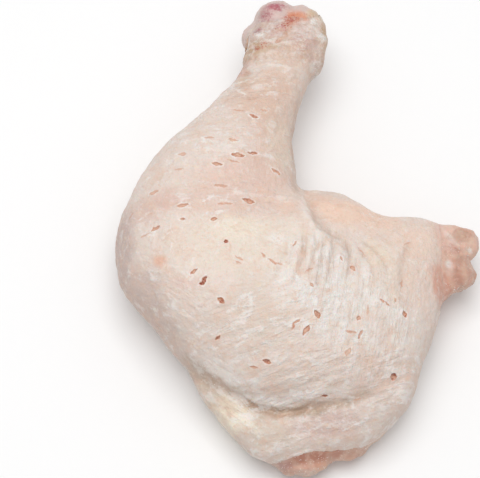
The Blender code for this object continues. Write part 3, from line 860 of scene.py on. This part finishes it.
def lean_material(settings):
    material, tree, shader = flesh_material("raw_lean", 0.36, 0.3, (1.0, 0.4, 0.25), 2.2)
    colour = mottled(
        tree, attribute(tree, "tint", "Color"), (4.0, 0.5, 0.7, 0.4, "lean dark"),
        (2.0, 0.52, 0.72, 0.5, "lean pale"),
    )
    inputs = {"Vector": object_place(tree), "Scale": (0.35, 1.0, 1.0)}
    along = put(tree, "ShaderNodeMapping", inputs).outputs[0]
    fibres = ramp(tree, noise(tree, PER_MM / 1.4, place=along), 0.45, 0.75)
    colour = overlaid(tree, times(tree, fibres, 0.25), colour, "lean dark")
    bend = noise(tree, PER_MM / 5.0, 2.0, output=1)
    bent = vector_math(tree, "MULTIPLY_ADD", {0: bend, 1: (4 * MM,) * 3, 2: object_place(tree)})
    inputs = {"Vector": bent, "Scale": PER_MM / 11.0}
    cells = put(tree, "ShaderNodeTexVoronoi", inputs, feature="DISTANCE_TO_EDGE")
    sheaths = ramp(tree, cells.outputs["Distance"], 0.16, 0.0)
    colour = overlaid(tree, times(tree, sheaths, 0.2), colour, "fat")
    colour, _ = frosted(tree, settings, colour, 1.7, 0.3)
    grain = shared(tree, "flesh_grain", Grain_size=0.8, Pore_size=1.8)
    set_surface(tree, shader, colour, grain, 0.3, 0.5)
    return material


def gristle_material(settings):
    material, tree, shader = flesh_material("gristle", 0.36, 0.3, (1.0, 0.5, 0.4), 1.6)
    colour = mottled(tree, attribute(tree, "tint", "Color"), (1.5, 0.5, 0.7, 0.4, "rose"))
    colour, _ = frosted(tree, settings, colour, 1.5, 0.5)
    grain = shared(tree, "flesh_grain", Grain_size=0.8, Pore_size=1.6)
    set_surface(tree, shader, bloodied(tree, colour), grain, 0.3, 0.45)
    return material


def frost_material(settings):
    material, tree, shader = flesh_material("frost", 0.35, 0.3, (1.0, 1.0, 1.0), 0.5)
    colour = overlaid(tree, noise(tree, PER_MM / 1.1), (*settings.frost_colour, 1), "white")
    tree.links.new(colour, shader.inputs["Base Color"])
    return material


# --- Loose frost by Geometry Nodes ---
def random_vector(tree, seed, inputs):
    inputs = {**inputs, "Seed": seed}
    return put(tree, "FunctionNodeRandomValue", inputs, data_type="FLOAT_VECTOR").outputs[0]


def grain_scatter():
    """A node tree that scatters small crystals over a surface where its icy mask says."""
    tree = bpy.data.node_groups.new("frost_scatter", "GeometryNodeTree")
    for name, way, kind in (
        ("Surface", "INPUT", "Geometry"), ("Density", "INPUT", "Float"),
        ("Grain size", "INPUT", "Float"), ("Seed", "INPUT", "Int"),
        ("Material", "INPUT", "Material"), ("Grains", "OUTPUT", "Geometry"),
    ):
        tree.interface.new_socket(name, in_out=way, socket_type="NodeSocket" + kind)
    given, out = tree.nodes.new("NodeGroupInput").outputs, tree.nodes.new("NodeGroupOutput")
    seed = given["Seed"]
    icy = put(tree, "GeometryNodeInputNamedAttribute", {"Name": "icy"}, data_type="FLOAT")
    density = times(tree, given["Density"], icy.outputs["Attribute"])
    inputs = {"Mesh": given["Surface"], "Density": density, "Seed": seed}
    points = put(tree, "GeometryNodeDistributePointsOnFaces", inputs)
    crystal = put(tree, "GeometryNodeMeshIcoSphere", {"Radius": 0.5, "Subdivisions": 1})
    size = random_vector(tree, seed, {0: (0.5, 0.5, 0.4), 1: (1.7, 1.3, 0.9)})
    inputs = {
        "Points": points.outputs["Points"], "Instance": crystal.outputs["Mesh"],
        "Rotation": random_vector(tree, seed, {1: (math.tau,) * 3}),
        "Scale": vector_math(tree, "SCALE", {0: size, "Scale": given["Grain size"]}),
    }
    placed = put(tree, "GeometryNodeInstanceOnPoints", inputs).outputs[0]
    real = put(tree, "GeometryNodeRealizeInstances", {"Geometry": placed}).outputs[0]
    inputs = {"Geometry": real, "Material": given["Material"]}
    finish = put(tree, "GeometryNodeSetMaterial", inputs)
    tree.links.new(finish.outputs[0], out.inputs["Grains"])
    return tree


# --- Settings ---
def colour_setting(name, description, code):
    return bpy.props.FloatVectorProperty(
        name=name, description=description, subtype="COLOR", size=3, min=0, max=1,
        default=linear(code),
    )


def length_setting(name, description, length):
    return bpy.props.FloatProperty(
        name=name, description=description, unit="LENGTH", default=length * MM
    )


class LegQuarterSettings(bpy.types.PropertyGroup):
    blush_colour: colour_setting("Blush", "Pinker blotches in the skin", "DDBBA6")
    frost_colour: colour_setting("Frost", "Frost on skin and lean", "F3EFEC")
    frost_amount: bpy.props.FloatProperty(
        name="Frost cover", description="How much the frost hides what is under it",
        subtype="FACTOR", min=0, max=1, default=0.6,
    )
    floor_colour: colour_setting("Floor", "The pale surface under the leg", "F7F7F7")
    skin_detail: length_setting("Skin detail", "Longest edge in the skin that shows", 1.35)
    lump_height: length_setting("Lumps", "Height of the skin's soft lumps", 0.35)
    grain_size: length_setting("Frost grain", "Size of a loose grain of frost", 0.32)
    frost_density: bpy.props.FloatProperty(
        name="Frost grains", description="Loose grains for each square metre of icy surface",
        min=0, default=1500000.0,
    )


# --- Operators ---
class LEGQUARTER_OT_skin(bpy.types.Operator):
    """Make the loose skin with its folds, wrinkles, slits and frosted patches"""

    bl_idname = "leg_quarter.skin"
    bl_label = "Skin"

    def execute(self, context):
        settings = context.scene.leg_quarter
        fine, start = softened_form("skin", voxel=1.0, rounds=12, triangles=16000)
        guide = search_tree(*fine)
        inside_tree, bare_tree = solid_tree("meat", "hock_joint"), bare_flesh()
        placed = place_pricks(guide)
        detail = settings.skin_detail / MM

        def wanted(middle, carried):
            depth, facing, rim = carried.T
            length = np.full(len(middle), detail)
            for *zone, least in FINE_ZONES:
                length = np.where(patch_share(middle, zone) > 0.3, least, length)
            length = np.where(facing < -0.3, UNDER_EDGE, length)
            low = np.where(rim < 5.0, BED_RIM_EDGE, BED_EDGE)
            length = np.where(middle[:, 2] < BED_TOP, low, length)
            gap = prick_fields(middle, placed)[0] - 0.3
            length = np.minimum(length, np.clip(SLIT_EDGE + 0.9 * gap, SLIT_EDGE, None))
            return np.where(depth < 1.2, HIDDEN_EDGE, length)

        depth, rim = (distance_to(start[0], tree) for tree in (inside_tree, bare_tree))
        carried = [depth, point_normals(*start)[:, 2], rim]
        points, faces = split_long_edges(*start, np.stack(carried, axis=1), wanted)
        points = nearest(points, guide, 0)
        up = point_normals(points, faces)[:, 2]
        depth, rim = (distance_to(points, tree) for tree in (inside_tree, bare_tree))
        outer = ease(0.8, 2.2, depth)
        up = ease(-0.45, 0.0, up) * outer
        seam = ease(SEAM_FAR, SEAM_NEAR, rim) * outer * ease(1.0, 3.0, points[:, 2])
        under = ease(14.0, 10.0, points[:, 2])
        reach = SEAM_REACH + (LOW_REACH - SEAM_REACH) * under
        reach *= ease(4.5 + 1.1 * under, 2.6 + 0.8 * under, rim) * ease(0.6, 1.2, depth)
        points = drawn_out(points, nearest(points, whole_form(), 1), reach, bare_tree)
        points = eased(points, seam)
        normals = point_normals(points, faces)

        edge, width, deep, dark = prick_fields(points, placed)
        hollow = ease(0.12, -0.55, edge / np.minimum(width, 0.7)) * ease(0.2, 1.1, deep)
        lip = np.exp(-(((edge - 0.4) / 0.3) ** 2)) * ease(0.35, 0.8, deep)
        height, ways = streak_fields(points)
        creases = wrinkle_heights(points) * up
        lift = settings.lump_height / MM * rough_noise(points, 6.0, 3) * outer
        lift += 0.12 * rough_noise(points, 1.9, 9, 2) * outer + creases + height * up
        lift += (0.14 * lip - 0.5 * deep * hollow) * ease(0.2, 0.6, outer)
        lift = lift * (1 - seam) + bulge_heights(points) * outer
        points = points + normals * lift[:, None]
        points[:, 2] = np.maximum(points[:, 2], 0.0)

        colours = painted(points, "skin", SKIN_TINTS, 70)
        knob = points[:, 1] > KNOB_START
        colours[knob] = painted(points[knob], colours[knob], KNOB_TINTS, 90)
        # Painted shade: skin that faces sideways, away from the overhead light, is tinted darker
        # clay.
        side_shade = ease(0.62, 0.1, normals[:, 2]) * outer * ease(2.0, 8.0, points[:, 2])
        # The skin's edge by the bare flesh turns pinker: partly the thin edge's own colour, partly
        # painted light over the seam's shade.
        fringe = ease(4.2, 1.4, rim + 1.6 * rough_noise(points, 3.0, 61)) * seam
        flush = dark * np.exp(-((np.maximum(edge, 0) / 0.9) ** 2))
        # Painted highlight: white patches on the raised lips round the slits.
        lip_highlights = np.clip(0.6 + 0.8 * rough_noise(points, 1.6, 66, 1), 0, 1) * (edge > 0.05)
        specks = rough_noise(points, 0.8, 63, 2)
        ragged = edge + 0.2 * specks
        outline = np.exp(-(((ragged + 0.1) / 0.2) ** 2)) * np.clip(1.2 * dark, 0, 1)
        core = ease(-0.1, 0.5, specks + 2.4 * (dark - 0.75)) * ease(0.55, 0.85, dark)
        colours = blended(
            colours,
            # painted shade on skin that faces sideways
            ("clay", 0.3 * side_shade),
            # the pinker edge, partly painted light over the seam's shade
            ("fringe", 0.7 * fringe * (points[:, 1] < 60.0)),
            # painted shade in the furrows and painted light on the ridges
            ("clay", np.clip(-0.5 * creases, 0, 0.42)),
            ("white", np.clip(0.7 * creases, 0, 0.6)),
            ("pink", 0.3 * flush),
            # painted highlight on the slits' lips
            ("white", 0.9 * lip * lip_highlights),
            ("slit fill", ease(0.15, -0.15, ragged) * np.clip(0.35 + 0.7 * dark, 0, 1)),
            ("slit", outline),
            ("slit deep", ease(0.1, -0.2, ragged) * core),
        )
        frost = np.clip(0.75 + 0.5 * rough_noise(points, 16.0, 12), 0, 1) * (1 - 0.7 * fringe)
        masks = {
            "frost": frost * (1 - ease(0.3, -0.2, edge)),
            "icy": frost_places(points) * up,
            **{"streaks_" + way: share for way, share in ways.items()},
            "worn": ease(62.0, 68.0, points[:, 1] + 2.0 * rough_noise(points, 5.0, 71)),
            **blood_masks(points),
        }
        skin = make_piece("leg_skin", points, faces, colours, masks, skin_material(settings))
        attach(skin, "root")
        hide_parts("skin")
        return {"FINISHED"}


class LEGQUARTER_OT_lean(bpy.types.Operator):
    """Make the lean that shows at the hip, under the loose edge and underneath"""

    bl_idname = "leg_quarter.lean"
    bl_label = "Lean"

    def execute(self, context):
        forms = softened_form("meat", voxel=1.0, rounds=5, triangles=14000)
        points, faces, normals, gap = flesh_mesh(*forms, LEAN_EDGES)
        bare = ease(0.46, 0.8, gap)
        bare_tree = bare_surface(*read_surface(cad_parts["meat"]), least=1.0)
        near_bare = ease(6.0, 2.0, distance_to(points, bare_tree)) * ease(4.0, 7.0, points[:, 2])
        fibres = points * np.array([0.35, 1.0, 1.0])
        lift = 0.4 * rough_noise(fibres, 1.8, 21, 2) + 0.8 * rough_noise(points, 5.0, 22)
        points = points + normals * (lift * bare + 0.3 * near_bare)[:, None]
        seam = ease(SEAM_FAR, SEAM_NEAR, gap) * bare * ease(1.0, 3.0, points[:, 2])
        points = eased(points, seam, SEAM_DROP)
        points = points + normals * (bulge_heights(points) * bare)[:, None]
        points[:, 2] = np.maximum(points[:, 2], BED_HEIGHT)

        up, x, z = normals[:, 2], points[:, 0], points[:, 2]
        fringe = ease(2.6, 0.8, gap + rough_noise(points, 3.0, 61))
        colours = blended(
            painted(points, "lean", LEAN_TINTS, 80),
            # painted shade on flesh that faces sideways
            ("clay", 0.4 * (ease(0.55, 0.05, up) * ease(1.0, 4.0, z))),
            # pinker flesh by the skin's edge: partly its own colour, partly painted light over the
            # seam's shade
            ("fringe", 0.75 * fringe * ease(30.0, 50.0, x)),
        )
        masks = {
            "frost": np.clip(0.7 + 0.6 * rough_noise(points, 8.0, 13), 0, 1),
            "icy": frost_places(points) * ease(-0.3, 0.2, up) * bare,
        }
        material = lean_material(context.scene.leg_quarter)
        lean = make_piece("leg_lean", points, faces, colours, masks, material)
        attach(lean, "root")
        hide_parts("meat")
        return {"FINISHED"}


class LEGQUARTER_OT_gristle(bpy.types.Operator):
    """Make the gristle caps at the end of the shin"""

    bl_idname = "leg_quarter.gristle"
    bl_label = "Gristle caps"

    def execute(self, context):
        forms = softened_form("hock_joint", voxel=0.6, rounds=6, triangles=6000)
        points, faces, normals, gap = flesh_mesh(*forms, CAP_EDGES)
        bare = ease(0.46, 0.7, gap)
        lift = 0.5 * rough_noise(points, 5.0, 51) + 0.2 * rough_noise(points, 1.5, 52, 2)
        points = points + normals * (lift * bare + 0.3)[:, None]
        points = eased(points, ease(0.75 * SEAM_FAR, 0.6 * SEAM_NEAR, gap) * bare, SEAM_DROP)
        points = points + normals * (bulge_heights(points) * bare)[:, None]
        # Painted shade: gristle that faces sideways is tinted darker clay.
        side_shade = ease(0.5, 0.0, normals[:, 2])
        colours = blended(painted(points, "gristle", KNOB_TINTS, 90), ("clay", 0.3 * side_shade))
        masks = {
            "frost": np.clip(0.75 + 0.5 * rough_noise(points, 5.0, 54), 0, 1),
            "icy": frost_places(points) * bare,
            **blood_masks(points),
        }
        material = gristle_material(context.scene.leg_quarter)
        caps = make_piece("hock_gristle", points, faces, colours, masks, material)
        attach(caps, "root")
        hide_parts("hock_joint")
        return {"FINISHED"}


class LEGQUARTER_OT_frost(bpy.types.Operator):
    """Scatter loose crystals of frost over the icy places"""

    bl_idname = "leg_quarter.frost"
    bl_label = "Loose frost"

    def execute(self, context):
        settings = context.scene.leg_quarter
        surfaces, icy = [], []
        for name in ("leg_skin", "leg_lean", "hock_gristle"):
            piece = bpy.data.objects[name]
            points, faces = read_surface(piece)
            mask = np.empty(len(points), np.float32)
            piece.data.attributes["icy"].data.foreach_get("value", mask)
            surfaces.append((points, faces[mask[faces].max(axis=1) > 0.05]))
            icy.append(mask)
        points, faces = joined(surfaces)
        used, faces = np.unique(faces, return_inverse=True)
        faces, masks = faces.reshape(-1, 3), {"icy": np.concatenate(icy)[used]}
        grains = make_piece("frost_grains", points[used], faces, np.ones((len(used), 3)), masks)
        scatter = grains.modifiers.new("Scatter", "NODES")
        scatter.node_group = grain_scatter()
        values = {
            "Density": settings.frost_density, "Grain size": settings.grain_size, "Seed": 7,
            "Material": frost_material(settings),
        }
        for item in scatter.node_group.interface.items_tree:
            if item.name in values:
                scatter[item.identifier] = values[item.name]
        bake_modifiers(grains)
        grains.data.shade_smooth()
        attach(grains, "root")
        return {"FINISHED"}


class LEGQUARTER_OT_stage(bpy.types.Operator):
    """Set up the pale floor, the soft light and the camera"""

    bl_idname = "leg_quarter.stage"
    bl_label = "Stage"

    def execute(self, context):
        scene = context.scene
        scene.view_settings.view_transform = "Standard"
        far, below = 1.2, -0.3 * MM
        corners = [(-far, -far, below), (far, -far, below), (far, far, below), (-far, far, below)]
        data = bpy.data.meshes.new("floor")
        data.from_pydata(corners, [], [(0, 1, 2, 3)])
        floor = new_object("floor", data)
        inputs = {"Base Color": (*scene.leg_quarter.floor_colour, 1), "Roughness": 0.6}
        data.materials.append(new_material("pale_floor", inputs)[0])

        world = bpy.data.worlds.new("soft_room")
        world.use_nodes = True
        sky = world.node_tree.nodes["Background"]
        sky.inputs["Color"].default_value = (1.0, 1.0, 1.0, 1)
        sky.inputs["Strength"].default_value = 0.58
        scene.world = world
        light = bpy.data.lights.new("overhead_softbox", "AREA")
        light.shape = "SQUARE"
        light.size = 0.7
        light.energy = 5.2
        lamp = new_object(light.name, light)
        lamp.location = (-0.05, 0.08, 0.95)
        lamp.rotation_euler = (-lamp.location).to_track_quat("-Z", "Y").to_euler()

        lens = bpy.data.cameras.new("camera")
        lens.lens = 144.2
        lens.sensor_width = 36.0
        camera = new_object("camera", lens)
        tilt, distance = math.radians(22.0), 0.75
        aim = Vector((-21.97, -3.26, 19.0)) * MM
        camera.location = aim + Vector((0, -math.sin(tilt), math.cos(tilt))) * distance
        camera.rotation_euler = (tilt, 0, 0)
        scene.camera = camera
        return {"FINISHED"}


class LEGQUARTER_PT_panel(bpy.types.Panel):
    bl_label = "Leg quarter"
    bl_idname = "LEGQUARTER_PT_panel"
    bl_space_type = "VIEW_3D"
    bl_region_type = "UI"
    bl_category = "Leg quarter"

    def draw(self, context):
        settings = context.scene.leg_quarter
        for name in LegQuarterSettings.__annotations__:
            self.layout.prop(settings, name)
        for step in STEPS:
            self.layout.operator(step.bl_idname)


STEPS = (
    LEGQUARTER_OT_skin, LEGQUARTER_OT_lean, LEGQUARTER_OT_gristle, LEGQUARTER_OT_frost,
    LEGQUARTER_OT_stage,
)


def register():
    for kind in (LegQuarterSettings, *STEPS, LEGQUARTER_PT_panel):
        bpy.utils.register_class(kind)
    bpy.types.Scene.leg_quarter = bpy.props.PointerProperty(type=LegQuarterSettings)


def unregister():
    del bpy.types.Scene.leg_quarter
    for kind in reversed((LegQuarterSettings, *STEPS, LEGQUARTER_PT_panel)):
        bpy.utils.unregister_class(kind)


def main():
    register()
    bpy.ops.leg_quarter.skin()
    bpy.ops.leg_quarter.lean()
    bpy.ops.leg_quarter.gristle()
    bpy.ops.leg_quarter.frost()
    bpy.ops.leg_quarter.stage()


if __name__ == "__main__":
    main()
